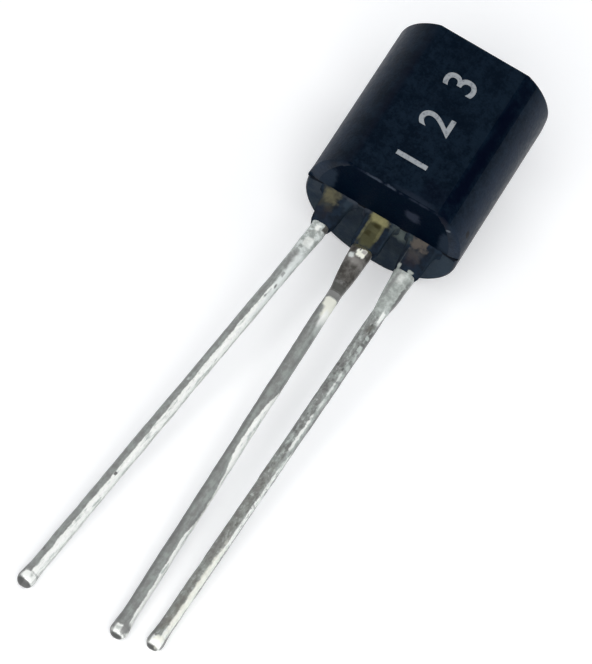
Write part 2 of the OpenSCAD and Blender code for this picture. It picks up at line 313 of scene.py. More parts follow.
def extrude_through(name, sections, corner_steps=4):
    """Models a closed piece by extruding a rounded plate through its sections."""
    first = sections[0]
    radius = max(first.low)
    round_corner = (radius, radius)
    bpy.ops.object.select_all(action="DESELECT")
    bpy.ops.mesh.primitive_plane_add(size=2)
    piece = bpy.context.object
    piece.name = name
    bpy.ops.object.mode_set(mode="EDIT")
    bpy.context.tool_settings.mesh_select_mode = (True, False, False)
    bpy.ops.mesh.select_all(action="SELECT")
    bpy.ops.transform.resize(value=(first.half_w, first.half_d, 1), center_override=(0, 0, 0))
    bpy.ops.transform.translate(value=(first.x, first.y, first.z))
    bpy.ops.mesh.bevel(offset=radius, segments=corner_steps, affect="VERTICES")
    bpy.ops.mesh.select_all(action="SELECT")
    reshape_end(piece, first._replace(low=round_corner, high=round_corner), first)
    for was, now in zip(sections, sections[1:]):
        bpy.ops.mesh.extrude_region_move(TRANSFORM_OT_translate={"value": (0, 0, now.z - was.z)})
        reshape_end(piece, was, now)
    finish_editing()
    return piece


def join(pieces):
    """Makes one object of several, named after the first."""
    select_only(pieces)
    bpy.ops.object.join()
    return pieces[0]


def smooth(piece, degrees):
    """Shades a piece smooth where its faces meet at less than an angle."""
    select_only([piece])
    bpy.ops.object.shade_smooth_by_angle(angle=math.radians(degrees))


def apply_modifier(piece, kind, **settings):
    """Runs a modifier on a piece and leaves its result in the mesh."""
    select_only([piece])
    made = piece.modifiers.new(kind.lower(), kind)
    for name, value in settings.items():
        setattr(made, name, value)
    bpy.ops.object.modifier_apply(modifier=made.name)


body_half_w = BODY_W / 2
side_run = body_half_w - FLAT_W / 2
side_r = (side_run * side_run + FRONT_DEPTH * FRONT_DEPTH) / (2 * side_run)
side_centre_x = body_half_w - side_r
edge_depth = FRONT_DEPTH - SIDE_EDGE_R
edge_centre_x = side_centre_x + math.sqrt((side_r - SIDE_EDGE_R) ** 2 - edge_depth ** 2)
side_end = side_r * edge_depth / (side_r - SIDE_EDGE_R)


def front_half_width(depth):
    """Half width of the front half: an arched side, and a smaller arc that runs into the flat."""
    if depth <= side_end:
        return side_centre_x + math.sqrt(side_r ** 2 - depth ** 2)
    return edge_centre_x + math.sqrt(max(SIDE_EDGE_R ** 2 - (depth - edge_depth) ** 2, 0))


def bevel_at(size, fade, less):
    """The width or height of the lower corners, which fade towards the flat."""
    return max(CORNER_R + (size - CORNER_R) * fade - less, MIN_R)


def front_section(depth, inset=0.0, rim_inset=0.0):
    """The front half at a depth, drawn in all round at the seam and at its ends at the rim."""
    share = depth / FRONT_DEPTH
    fade = 1 - share ** BEVEL_FADE
    less = inset + rim_inset
    low = (bevel_at(BEVEL_W, fade, less), bevel_at(BEVEL_H, fade, less))
    high = max(CORNER_R - less, MIN_R)
    return Section(depth, 0, MIDDLE_Z, front_half_width(depth) - inset,
                   MIDDLE_Z - FRONT_DRAFT * share - less, low, (high, high))


def back_section(depth, half, inset=0.0):
    """The rear half at a depth: its ends draw in with the draft and round off at the back."""
    past = max(depth - (BACK_DEPTH - BACK_EDGE_R), 0)
    draft = BACK_DRAFT * depth / BACK_DEPTH + BACK_EDGE_R - math.sqrt(BACK_EDGE_R ** 2 - past ** 2)
    radius = min(CORNER_R, MAX_R_SHARE * half) - inset
    corner = (radius, radius)
    return Section(-depth, 0, MIDDLE_Z, half - inset, MIDDLE_Z - draft - inset, corner, corner)


rim_start = FRONT_DEPTH - FLAT_EDGE_R
front_sections = [front_section(0, SEAM_DEPTH), front_section(SEAM_DEPTH)]
for i in range(1, FRONT_STEPS + 1):
    angle = math.asin(rim_start / side_r) * i / FRONT_STEPS
    front_sections.append(front_section(side_r * math.sin(angle)))
for i in range(1, EDGE_STEPS + 1):
    angle = math.pi / 2 * i / EDGE_STEPS
    rim = front_section(rim_start, rim_inset=FLAT_EDGE_R * (1 - math.cos(angle)))
    depth = rim_start + FLAT_EDGE_R * math.sin(angle)
    front_sections.append(rim._replace(z=depth, half_w=front_half_width(depth)))

round_depth = BACK_DEPTH - SIDE_LAND
back_sections = [back_section(0, body_half_w, SEAM_DEPTH), back_section(SEAM_DEPTH, body_half_w)]
for i in range(BACK_STEPS + 1):
    angle = math.radians(BACK_END * i / BACK_STEPS)
    depth = SIDE_LAND + round_depth * math.sin(angle)
    back_sections.append(back_section(depth, body_half_w * math.cos(angle)))

FLASH_OUT = 0.02
FLASH_H = 0.5
FLASH_T = 0.06
FLASH_GAP = 0.02
FLASH_STEPS = 4


def flash_fin():
    """A thin fin that stands at the lower left end of the parting line and tapers out above."""
    bpy.ops.object.select_all(action="DESELECT")
    bpy.ops.mesh.primitive_plane_add(size=1, location=(-body_half_w, FLASH_H / 2, -FLASH_T / 2))
    fin = bpy.context.object
    bpy.ops.object.mode_set(mode="EDIT")
    bpy.ops.mesh.select_all(action="SELECT")
    bpy.ops.transform.resize(value=(2 * FLASH_T, FLASH_H - FLASH_GAP, 1))
    bpy.ops.transform.translate(value=(FLASH_T, 0, 0))
    pick(fin, lambda v: v.co.y < 0 and v.co.x < 0)
    bpy.ops.transform.translate(value=(-FLASH_OUT, 0, 0))
    bpy.ops.mesh.bevel(offset=FLASH_OUT, segments=FLASH_STEPS, affect="VERTICES")
    bpy.ops.mesh.select_all(action="SELECT")
    bpy.ops.mesh.extrude_region_move(TRANSFORM_OT_translate={"value": (0, 0, FLASH_T)})
    finish_editing()
    return fin


PITCH = 1.27
COLLAR_Y = 0.2
COLLAR_HALF_D = 0.23
COLLAR_END_HALF_D = 0.21
COLLAR_CORNER = (0.12, 0.10)
COLLAR_CORNER_STEPS = 3

# The level and half width of a resin collar down the neck, and how it widens on each lead
COLLAR = [(0.12, 0.55), (0.0, 0.55), (-0.02, 0.49), (-0.07, 0.445), (-0.16, 0.41), (-0.40, 0.385),
          (-0.70, 0.365), (-0.88, 0.345), (-0.98, 0.305)]
COLLAR_END = (-1.05, 0.26)
COLLAR_WIDENING = {-PITCH: -0.02, 0: 0.05, PITCH: 0.0}


def collar_section(x, z, half_w, half_d):
    """A rounded section of a resin collar."""
    return Section(z, x, COLLAR_Y, half_w, half_d, COLLAR_CORNER, COLLAR_CORNER)


def resin_collar(x, wider):
    """Resin that crept out of the mould along the neck of a lead: a sleeve that thins outwards."""
    sections = [collar_section(x, z, half_w + wider * max(-z, 0), COLLAR_HALF_D)
                for z, half_w in COLLAR]
    sections.append(collar_section(x, *COLLAR_END, COLLAR_END_HALF_D))
    return extrude_through("resin_collar", sections, COLLAR_CORNER_STEPS)


def place_group():
    """The place of a point in the upright part, in millimetres, from its object's own place."""
    tree = bpy.data.node_groups.new("upright_place", "ShaderNodeTree")
    tree.interface.new_socket("Object", in_out="INPUT", socket_type="NodeSocketVector")
    tree.interface.new_socket("Place", in_out="OUTPUT", socket_type="NodeSocketVector")
    n = Nodes(tree)
    given = tree.nodes.new("NodeGroupInput")
    result = tree.nodes.new("NodeGroupOutput")
    mapped = n.add("Mapping", {
        "Vector": given.outputs[0],
        "Location": resting_place,
        "Rotation": (lie_angle - math.pi / 2, 0, 0),
        "Scale": (MM, MM, MM),
    }, vector_type="TEXTURE")
    tree.links.new(mapped.outputs[0], result.inputs[0])
    return tree


def patch_group():
    """A block with soft corners and ragged edges: 1 inside it and 0 outside."""
    tree = bpy.data.node_groups.new("ragged_patch", "ShaderNodeTree")
    for name, kind in (("Place", "Vector"), ("Middle", "Vector"), ("Half", "Vector"),
                       ("Edge", "Float"), ("Ragged", "Float"), ("Scale", "Float")):
        tree.interface.new_socket(name, in_out="INPUT", socket_type="NodeSocket" + kind)
    tree.interface.new_socket("Mask", in_out="OUTPUT", socket_type="NodeSocketFloat")
    n = Nodes(tree)
    given = tree.nodes.new("NodeGroupInput")
    result = tree.nodes.new("NodeGroupOutput")
    off = n.vector("SUBTRACT", given.outputs["Place"], given.outputs["Middle"])
    share = n.vector("DIVIDE", off, given.outputs["Half"])
    square = n.vector("MULTIPLY", share, share)
    fourths = n.vector("DOT_PRODUCT", square, square, "Value")
    past = n.math("SUBTRACT", n.math("POWER", fourths, 1 / 4), 1.0)
    halves = n.split(given.outputs["Half"])
    least = n.math("MINIMUM", n.math("MINIMUM", halves[0], halves[1]), halves[2])
    most = n.math("MULTIPLY", past, least)
    grain = n.noise(given.outputs["Place"], given.outputs["Scale"], 3.0)
    swing = n.math("MULTIPLY", n.math("SUBTRACT", grain, 0.5), given.outputs["Ragged"])
    reach = n.math("ADD", most, swing)
    near = n.math("MULTIPLY", given.outputs["Edge"], -1.0)
    tree.links.new(n.ramp(reach, near, given.outputs["Edge"], 1.0, 0.0), result.inputs[0])
    return tree


UPRIGHT = place_group()
PATCH = patch_group()


def upright(n):
    """The place node that every finish starts from."""
    coordinates = n.add("TexCoord")
    return n.group(UPRIGHT, {"Object": coordinates.outputs["Object"]})[0]


def patch(n, place, middle, half, edge, ragged, scale):
    """The mask of one ragged patch: its middle and half sizes, and how soft and ragged it is."""
    return n.group(PATCH, {"Place": place, "Middle": middle, "Half": half, "Edge": edge,
                           "Ragged": ragged, "Scale": scale})[0]


def finish_surface(n, colour, roughness, grain, grain_mm, specular=0.5, metallic=0.0):
    """Joins a colour, a roughness and a relief to the shader, and sets its gloss and metal."""
    relief = n.add("Bump", {"Height": grain, "Distance": grain_mm * MM, "Strength": 1.0})
    shader = n.add("BsdfPrincipled", {
        "Base Color": colour,
        "Roughness": roughness,
        "Normal": relief.outputs[0],
        "Specular IOR Level": specular,
        "Metallic": metallic,
    })
    n.add("OutputMaterial", {"Surface": shader.outputs[0]})


# The epoxy, and the metals that show through it where it is thin
EPOXY_DARK = (0.0006, 0.0040, 0.0100, 1)
EPOXY_LIGHT = (0.0044, 0.0112, 0.0215, 1)
EPOXY_DEEP = (0.0004, 0.0016, 0.0078, 1)
# Painted reflection colour for the flanks
EPOXY_PURPLE = (0.0120, 0.0225, 0.0415, 1)
EPOXY_BEVEL = (0.0160, 0.0250, 0.0390, 1)
EPOXY_STRIP = (0.0500, 0.0560, 0.0680, 1)
EPOXY_LIT = (0.0290, 0.0430, 0.0590, 1)
EPOXY_SLATE = (0.0150, 0.0245, 0.0390, 1)
EPOXY_DULL = (0.0500, 0.0640, 0.0640, 1)
EPOXY_PALE = (0.1000, 0.1220, 0.1150, 1)
EPOXY_SMEAR = (0.0270, 0.0340, 0.0520, 1)
# The next two colours paint the highlight along the flat's lower edge; the first also marks a worn
# patch on the flat.
EPOXY_WEAR_AND_SHEEN = (0.0160, 0.0220, 0.0350, 1)
EPOXY_RIM_HIGHLIGHT = (0.0380, 0.0480, 0.0660, 1)
EPOXY_SEAM = (0.0002, 0.0005, 0.0010, 1)
EPOXY_CHIP = (0.10, 0.115, 0.135, 1)
BRASS_BRIGHT = (0.275, 0.258, 0.125, 1)
BRASS_DULL = (0.068, 0.067, 0.036, 1)
BRASS_SPOT = (0.030, 0.026, 0.010, 1)
NECK_TAN = (0.128, 0.119, 0.074, 1)
NECK_BROWN = (0.110, 0.096, 0.082, 1)
NECK_PURPLE = (0.034, 0.027, 0.034, 1)
NECK_PALE = (0.120, 0.130, 0.125, 1)
BLED_DARK = (0.0115, 0.0160, 0.0235, 1)
TIN_DULL = (0.325, 0.350, 0.325, 1)

# How much each finish of the moulding shines
EPOXY_SPECULAR = 0.08
BEVEL_SPECULAR = 0.10
CORNER_SPECULAR = 0.015
END_SPECULAR = 0.02
BLED_SPECULAR = 0.0
INK_SPECULAR = 0.1

# Where the flat and its rim lie, and how far the dark line of the seam reaches on either side
FLAT_Y = -FRONT_DEPTH
RIM_Y = 0.02 - FRONT_DEPTH
SEAM_HALF = SEAM_DEPTH * 1.4


def blend_patches(n, place, colour, patches, scale=7.0):
    """Lays ragged patches over a colour: middle, half size, edge, raggedness, the colour laid over
    (a real mark, painted highlight or painted shade) and share.
    """
    for middle, half, edge, ragged, overlay, share in patches:
        mask = patch(n, place, middle, half, edge, ragged, scale)
        colour = n.mix(n.math("MULTIPLY", mask, share), colour, overlay)
    return colour


def rim_highlight(n, place, colour):
    """A painted highlight along the flat's lower edge, broken here and there."""
    tone_mask = patch(n, place, (0.15, RIM_Y, 0.04), (1.15, 0.030, 0.035), 0.014, 0.06, 9.0)
    broken = n.ramp(n.noise(place, 4.2, 5.0, 0.7), 0.42, 0.62)
    colour = n.mix(n.math("MULTIPLY", tone_mask, n.math("MULTIPLY", broken, 0.8)), colour, EPOXY_WEAR_AND_SHEEN)
    return blend_patches(n, place, colour, [
        ((-0.62, RIM_Y, 0.05), (0.20, 0.025, 0.03), 0.015, 0.07, EPOXY_RIM_HIGHLIGHT, 0.8),
        ((-0.12, RIM_Y, 0.05), (0.14, 0.025, 0.03), 0.015, 0.07, EPOXY_RIM_HIGHLIGHT, 0.9),
    ])


def moulded_epoxy(name, specular):
    """Blue-black epoxy: mottled, finely pocked, with a purplish painted reflection on its flanks,
    painted dark reflections down the flat's edges and a painted highlight along its lower edge.
    """
    made, n = new_material(name)
    place = upright(n)
    mottle = n.noise(place, 1.7, 5.0, 0.62)
    fine = n.noise(place, 7.0, 4.0, 0.6)
    grain = n.noise(place, 15.0, 3.0, 0.7)
    cloud = n.math("ADD", n.math("MULTIPLY", mottle, 0.6), n.math("MULTIPLY", fine, 0.4))
    cloud = n.math("MULTIPLY_ADD", n.math("SUBTRACT", grain, 0.5), 0.5, cloud)
    colour = n.mix(n.ramp(cloud, 0.38, 0.62), EPOXY_DARK, EPOXY_LIGHT)
    parts = n.split(place)
    # Painted reflection: the flanks are tinted lighter and purplish, most towards the flat, where
    # they mirror the bright horizon.
    swing = n.math("MULTIPLY", n.math("SUBTRACT", mottle, 0.5), 0.5)
    flank = n.ramp(n.math("ADD", n.math("ABSOLUTE", parts[0]), swing), 1.62, 2.15)
    flank = n.math("MULTIPLY", flank, n.ramp(parts[1], -0.7, 0.2, 0.95, 0.4))
    flank = n.math("MULTIPLY", flank, n.ramp(grain, 0.35, 0.65, 0.7, 1.0))
    colour = n.mix(flank, colour, EPOXY_PURPLE)
    # The long dark bands down the right and left edges of the flat are painted dark reflections;
    # the other patches are darker, worn and dark spots.
    colour = blend_patches(n, place, colour, [
        ((1.45, FLAT_Y, 2.3), (0.16, 0.9, 2.7), 0.10, 0.30, EPOXY_DEEP, 0.9),
        ((-1.42, FLAT_Y, 2.3), (0.10, 0.9, 2.7), 0.10, 0.30, EPOXY_DEEP, 0.6),
        ((0.95, FLAT_Y, 0.55), (0.35, 0.3, 0.30), 0.10, 0.40, EPOXY_DEEP, 0.4),
        ((0.55, FLAT_Y, 0.14), (0.45, 0.1, 0.07), 0.05, 0.20, EPOXY_WEAR_AND_SHEEN, 0.5),
        ((2.12, -0.58, 0.52), (0.10, 0.12, 0.10), 0.02, 0.10, EPOXY_SEAM, 0.8),
    ], 3.0)
    colour = rim_highlight(n, place, colour)
    colour = blend_patches(n, place, colour, [
        ((1.715, -1.04, 0.01), (0.07, 0.035, 0.04), 0.012, 0.06, EPOXY_CHIP, 0.8),
        ((0, 0.0, 0.0), (2.4, SEAM_HALF, 0.2), 0.006, 0.01, EPOXY_SEAM, 1.0),
    ])
    pits = n.noise(place, 11.0, 3.0, 0.55)
    roughness = n.between(fine, 0.36, 0.48)
    finish_surface(n, colour, roughness, pits, 0.006, specular)
    return made


def epoxy_end():
    """The end that the leads leave: dead dark in front of the parting line, slate behind it."""
    made, n = new_material("moulded_epoxy_end")
    place = upright(n)
    cloudy = n.ramp(n.noise(place, 2.6, 4.0, 0.6), 0.35, 0.68)
    colour = n.mix(n.math("MULTIPLY", cloudy, 0.4), EPOXY_DARK, EPOXY_DEEP)
    rear = patch(n, place, (0, 1.55, 0.0), (3.0, 1.55, 0.5), 0.012, 0.01, 20.0)
    slate = n.mix(n.math("MULTIPLY", cloudy, 0.32), EPOXY_SLATE, EPOXY_DULL)
    slate = blend_patches(n, place, slate, [
        ((-0.66, 0.6, 0.0), (0.34, 0.6, 0.4), 0.12, 0.30, EPOXY_DARK, 0.36),
        ((0.66, 0.9, 0.0), (0.42, 0.5, 0.4), 0.15, 0.30, EPOXY_DARK, 0.40),
        ((0.55, 0.30, 0.0), (0.22, 0.26, 0.4), 0.16, 0.40, EPOXY_PALE, 0.95),
        ((-1.85, 0.35, 0.0), (0.22, 0.30, 0.4), 0.12, 0.35, EPOXY_STRIP, 0.25),
        ((1.95, 0.90, 0.0), (0.55, 0.85, 0.4), 0.25, 0.35, EPOXY_LIT, 0.8),
        ((-1.10, 0.07, 0.0), (1.00, 0.045, 0.4), 0.025, 0.08, EPOXY_STRIP, 0.7),
    ], 4.0)
    colour = n.mix(rear, colour, slate)
    colour = blend_patches(n, place, colour, [
        ((0.70, -0.78, 0.0), (0.20, 0.18, 0.4), 0.07, 0.20, EPOXY_SMEAR, 0.75),
        ((-1.76, -0.40, 0.0), (0.24, 0.44, 0.4), 0.07, 0.16, EPOXY_BEVEL, 0.9),
        ((1.80, -0.45, 0.0), (0.20, 0.40, 0.4), 0.07, 0.16, EPOXY_BEVEL, 0.9),
        ((0, 0.0, 0.0), (2.4, SEAM_HALF, 0.3), 0.006, 0.01, EPOXY_SEAM, 1.0),
    ], 4.0)
    colour = rim_highlight(n, place, colour)
    grain = n.noise(place, 16.0, 3.0, 0.6)
    roughness = n.between(grain, 0.55, 0.7)
    finish_surface(n, colour, roughness, grain, 0.008, END_SPECULAR)
    return made


def bled_resin():
    """Thin brown-black resin on the necks, with brass and copper oxide that show through it."""
    made, n = new_material("bled_resin")
    place = upright(n)
    cloudy = n.noise(place, 5.0, 4.0, 0.6)
    colour = n.mix(n.ramp(cloudy, 0.35, 0.65), BLED_DARK, EPOXY_SLATE)
    colour = blend_patches(n, place, colour, [
        ((-0.88, -0.5, -0.18), (0.20, 0.9, 0.20), 0.10, 0.30, EPOXY_LIT, 0.90),
        ((-0.62, -0.5, -0.03), (0.50, 0.9, 0.06), 0.03, 0.12, EPOXY_STRIP, 0.60),
        ((0.52, -0.5, -0.12), (0.16, 0.9, 0.15), 0.09, 0.30, EPOXY_PALE, 0.55),
        ((0.84, -0.5, -0.16), (0.13, 0.9, 0.14), 0.09, 0.30, EPOXY_PALE, 0.50),
        ((-1.46, -0.5, -0.20), (0.24, 0.6, 0.21), 0.08, 0.20, NECK_TAN, 0.95),
        ((-1.45, -0.5, -0.44), (0.18, 0.6, 0.16), 0.14, 0.25, NECK_TAN, 0.4),
        ((-1.42, -0.5, -0.75), (0.20, 0.6, 0.20), 0.10, 0.25, NECK_PURPLE, 0.25),
        ((-0.03, -0.5, -0.5), (0.235, 0.6, 0.62), 0.03, 0.05, BRASS_DULL, 1.0),
        ((-0.03, -0.5, -0.12), (0.25, 0.6, 0.14), 0.05, 0.10, BRASS_BRIGHT, 0.95),
        ((-0.25, -0.5, -0.45), (0.03, 0.6, 0.45), 0.02, 0.04, BRASS_BRIGHT, 0.5),
        ((0.16, -0.5, -0.40), (0.04, 0.6, 0.25), 0.03, 0.08, BRASS_BRIGHT, 0.4),
        ((0.02, -0.5, -0.47), (0.09, 0.6, 0.06), 0.04, 0.08, BRASS_BRIGHT, 0.15),
        ((-0.02, -0.5, -0.30), (0.11, 0.6, 0.07), 0.03, 0.08, BRASS_SPOT, 0.85),
        ((-0.12, -0.5, -0.62), (0.09, 0.6, 0.08), 0.03, 0.08, BRASS_SPOT, 0.7),
        ((1.20, -0.5, -0.15), (0.25, 0.6, 0.20), 0.05, 0.26, NECK_BROWN, 0.95),
        ((1.22, -0.5, -0.50), (0.20, 0.6, 0.20), 0.08, 0.16, NECK_BROWN, 0.45),
        ((1.22, -0.5, -0.70), (0.20, 0.6, 0.20), 0.08, 0.16, NECK_PURPLE, 0.4),
        ((1.00, -0.5, -0.72), (0.012, 0.6, 0.22), 0.010, 0.02, NECK_PALE, 0.4),
        ((1.03, -0.5, -1.0), (0.04, 0.6, 0.09), 0.015, 0.05, TIN_DULL, 1.0),
        ((1.38, -0.5, -1.02), (0.09, 0.6, 0.06), 0.015, 0.06, TIN_DULL, 1.0),
    ])
    # Painted light: the outer sides of the collars are lightened, most further from the body, to
    # cancel the shade that falls beside them.
    parts = n.split(place)
    off_lead = n.math("ABSOLUTE", n.math("WRAP", parts[0], PITCH / 2, -PITCH / 2))
    edge = n.math("MULTIPLY", n.ramp(off_lead, 0.33, 0.37), 0.42)
    edge = n.math("MULTIPLY", edge, n.ramp(parts[2], -0.22, -0.06, 1.0, 0.2))
    colour = n.mix(edge, colour, EPOXY_LIT)
    grain = n.noise(place, 9.0, 3.0, 0.6)
    roughness = n.between(grain, 0.38, 0.55)
    finish_surface(n, colour, roughness, grain, 0.010, BLED_SPECULAR)
    return made


INK_GREY = (0.31, 0.33, 0.345, 1)
INK_THIN = (0.10, 0.11, 0.13, 1)
NUMBER_SIZE = 1.30
NUMBER_Z = 2.45
INK_T = 0.008
INK_SPREAD = 0.008
NUMBER_CURVE_STEPS = 6


def stamp_ink():
    """Silver-grey stamp ink, thin and patchy where the pad was dry."""
    made, n = new_material("stamp_ink")
    place = upright(n)
    dry = n.ramp(n.noise(place, 8.0, 5.0, 0.75), 0.48, 0.70)
    colour = n.mix(n.math("MULTIPLY", dry, 0.8), INK_GREY, INK_THIN)
    grain = n.noise(place, 20.0, 2.0, 0.6)
    roughness = n.between(grain, 0.5, 0.7)
    finish_surface(n, colour, roughness, grain, 0.004, INK_SPECULAR)
    return made


def stamped_numbers():
    """Three plain numbers on the flat, which read from the leads to the closed end."""
    bpy.ops.object.select_all(action="DESELECT")
    bpy.ops.object.text_add()
    numbers = bpy.context.object
    numbers.data.body = "1  2  3"
    numbers.data.size = NUMBER_SIZE
    numbers.data.align_x = "CENTER"
    numbers.data.align_y = "CENTER"
    numbers.data.extrude = INK_T / 2
    numbers.data.offset = INK_SPREAD
    numbers.data.resolution_u = NUMBER_CURVE_STEPS
    bpy.ops.object.convert(target="MESH")
    numbers = bpy.context.object
    reading_up = Matrix(((0, -1, 0), (0, 0, -1), (1, 0, 0))).to_4x4()
    settle(numbers, Matrix.Translation((0, FLAT_Y, NUMBER_Z)) @ reading_up)
    numbers.data.materials.append(stamp_ink())
    return numbers


# The moulding's finishes in the order of its slots: plain, the end that the leads leave, the
# bevels in front of it, and the duller corner along the right of the flat. The limits say how
# squarely a face looks towards the leads, or for that corner how far to the right.
PLAIN, END, BEVEL, CORNER = range(4)
END_FACING = 0.998
REAR_FACING = 0.97
BEVEL_FACING = 0.15
CORNER_FACING = (0.05, 0.63)
MOULDING_CREASE = 32

end_facing = turn_down @ Vector((0, 0, -1))
up_from_seam = turn_down @ Vector((0, -1, 0))
seam_place = lie_down @ Vector((0, 0, 0))


def finish_of(face):
    """Which finish a face of the laid-down moulding gets."""
    facing = face.normal.dot(end_facing)
    above_seam = (face.center - seam_place).dot(up_from_seam) / MM
    if facing > (END_FACING if above_seam > 0 else REAR_FACING):
        return END
    if facing > BEVEL_FACING and above_seam > SEAM_DEPTH:
        return END if above_seam > rim_start else BEVEL
    if abs(facing) < BEVEL_FACING and above_seam > SEAM_DEPTH:
        return CORNER if CORNER_FACING[0] < face.normal.x < CORNER_FACING[1] else PLAIN
    return PLAIN


front = extrude_through("moulding", front_sections, CORNER_STEPS)
back = extrude_through("moulding_back", back_sections, CORNER_STEPS)
moulding = join([front, back, flash_fin()])
settle(moulding, Matrix.Rotation(math.pi / 2, 4, "X"))
moulding.data.materials.append(moulded_epoxy("moulded_epoxy", EPOXY_SPECULAR))
moulding.data.materials.append(epoxy_end())
moulding.data.materials.append(moulded_epoxy("moulded_epoxy_bevel", BEVEL_SPECULAR))
moulding.data.materials.append(moulded_epoxy("moulded_epoxy_corner", CORNER_SPECULAR))
for face in moulding.data.polygons:
    face.material_index = finish_of(face)

bled = bled_resin()
collars = [resin_collar(x, wider) for x, wider in COLLAR_WIDENING.items()]
for collar in collars:
    settle(collar)
    collar.data.materials.append(bled)
moulding = join([moulding, stamped_numbers()] + collars)
smooth(moulding, MOULDING_CREASE)
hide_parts("body")
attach(moulding, "root")

# ---- Leads ----
# Three flat pins stamped from one copper-alloy strip and dipped in tin, which pulls their
# section round. Each keeps the stub of the tie bar that held it, and ends in a small bulb.
LEAD_T = 0.4
LEAD_W = 0.38
NECK_W = 0.5
TIP_D = 0.46
STUB_GAP = 1.1
STUB_STEP = 0.1
STUB_L = 0.8
STUB_WAIST = 0.4
STUB_TAPER = 0.5
POST_GAP = 1.6
POST_W = 0.9
POST_H = 0.85
PAD_GAP = 0.3
PAD_W = 1.5
PAD_H = 1.4
PAD_CHAMFER = 0.15
PAD_STEP = 0.02
INNER_NECK = (0.6, 0.1)
OUTER_NECK = (0.05, 0.5)
KINK_DEPTH = 0.14
KINK_START = 1.25
KINK_L = 2.05
KINK_TURN = 0.6
LEAD_STEP = 0.22
SECTION_R = 0.14
BULB_ONSET_R = 0.16
BULB_R = 0.185
BULB_STEPS = 6
BULB_END = 80
BULB_END_HALF_D = 0.03
BULB_END_R = 0.02
PIN_CREASE = 60

# Each lead: its place across, its length, the width of its stub, how far its tip is shifted,
# how far out it starts to bend, and how deep its S-bend is
Lead = namedtuple("Lead", "x length stub_w shift bend kink")
LEADS = {
    "lead_1": Lead(-PITCH, 14.3, 0.46, -1.35, 1.3, 0.0),
    "lead_2": Lead(0.0, 14.2, 0.6, 0.05, 1.9, KINK_DEPTH),
    "lead_3": Lead(PITCH, 13.95, 0.59, -0.31, 1.9, 0.0),
}
LONGEST = max(lead.length for lead in LEADS.values())


def lead_x(lead, depth):
    """The lead's middle across the part, which leans from its bend to its tip."""
    return lead.x + lead.shift * max(depth - lead.bend, 0) / (lead.length - lead.bend)


def lead_y(lead, depth):
    """Middle of the strip's thickness: the S-bend, and a lean that brings a shorter tip down."""
    drop = (LONGEST - lead.length) * math.tan(lie_angle)
    y = LEAD_T / 2 + drop * max(depth - lead.bend, 0) / (lead.length - lead.bend)
    share = (depth - KINK_START) / KINK_L
    if 0 < share < KINK_TURN:
        y += lead.kink * (1 - math.cos(math.pi * share / KINK_TURN)) / 2
    elif KINK_TURN <= share < 1:
        y += lead.kink * (1 + math.cos(math.pi * (share - KINK_TURN) / (1 - KINK_TURN))) / 2
    return y


def lead_width(lead, depth):
    """The lead's width: its neck, the stub of the tie bar, the plain pin and the bulb."""
    tip = lead.length - TIP_D / 2
    stub_end = STUB_GAP + STUB_L
    waist = lead.stub_w - STUB_WAIST * (lead.stub_w - LEAD_W)
    stations = [(0, NECK_W), (STUB_GAP - STUB_STEP, NECK_W), (STUB_GAP, lead.stub_w),
                (stub_end, waist), (stub_end + STUB_TAPER, LEAD_W), (tip - TIP_D, LEAD_W),
                (tip, TIP_D)]
    for (low, w_low), (high, w_high) in zip(stations, stations[1:]):
        if depth <= high:
            return w_low + (w_high - w_low) * (depth - low) / (high - low)
    return TIP_D


def pin_section(z, x, y, half_w, half_d, radius=SECTION_R):
    """A section of a pin with its corners rounded by the tin."""
    return Section(z, x, y, half_w, half_d, (radius, radius), (radius, radius))


def inner_sections(lead):
    """The end inside the body: a bond post, or the chip's pad on the middle lead."""
    middle = lead.kink > 0
    low = POST_GAP + POST_H + PAD_GAP if middle else POST_GAP
    wide, high = (PAD_W, PAD_H) if middle else (POST_W, POST_H)
    top = low + high
    steps = [(top, wide / 2 - PAD_CHAMFER), (top - PAD_CHAMFER, wide / 2),
             (low + PAD_CHAMFER, wide / 2), (low, wide / 2 - PAD_CHAMFER),
             (low - PAD_STEP, NECK_W / 2)]
    steps += [(z, NECK_W / 2) for z in INNER_NECK]
    return [pin_section(z, lead.x, LEAD_T / 2, half, LEAD_T / 2) for z, half in steps]


def outer_section(lead, depth, radius=SECTION_R):
    """The lead at a depth below the body."""
    return pin_section(-depth, lead_x(lead, depth), lead_y(lead, depth),
                       lead_width(lead, depth) / 2, LEAD_T / 2, radius)


def outer_sections(lead):
    """The lead from the body to its tip, which the tin rounds to a bulb."""
    tip = lead.length - TIP_D / 2
    depths = [*OUTER_NECK, STUB_GAP - STUB_STEP, STUB_GAP]
    while depths[-1] + LEAD_STEP < tip - TIP_D:
        depths.append(depths[-1] + LEAD_STEP)
    depths.append(tip - TIP_D)
    sections = [outer_section(lead, depth) for depth in depths]
    sections.append(outer_section(lead, tip - TIP_D / 2, BULB_ONSET_R))
    sections.append(outer_section(lead, tip, BULB_R))
    for i in range(1, BULB_STEPS + 1):
        angle = math.radians(BULB_END * i / BULB_STEPS)
        shrink = TIP_D / 2 * (1 - math.cos(angle))
        sections.append(pin_section(
            -tip - TIP_D / 2 * math.sin(angle), lead_x(lead, tip), lead_y(lead, tip),
            TIP_D / 2 - shrink, max(LEAD_T / 2 - shrink, BULB_END_HALF_D),
            max(BULB_R - shrink, BULB_END_R)))
    return sections


def solder_texture(name, size):
    """Clouds that push the surface of the dipped tin in and out."""
    made = bpy.data.textures.new(name, "CLOUDS")
    made.noise_scale = size
    return made


# The lumps and the finer grain of the dip: texture, height in millimetres and level that stays
DIP_RELIEFS = [
    (solder_texture("dip_lumps", 0.8), 0.03, 0.45),
    (solder_texture("dip_grain", 0.22), 0.008, 0.5),
]

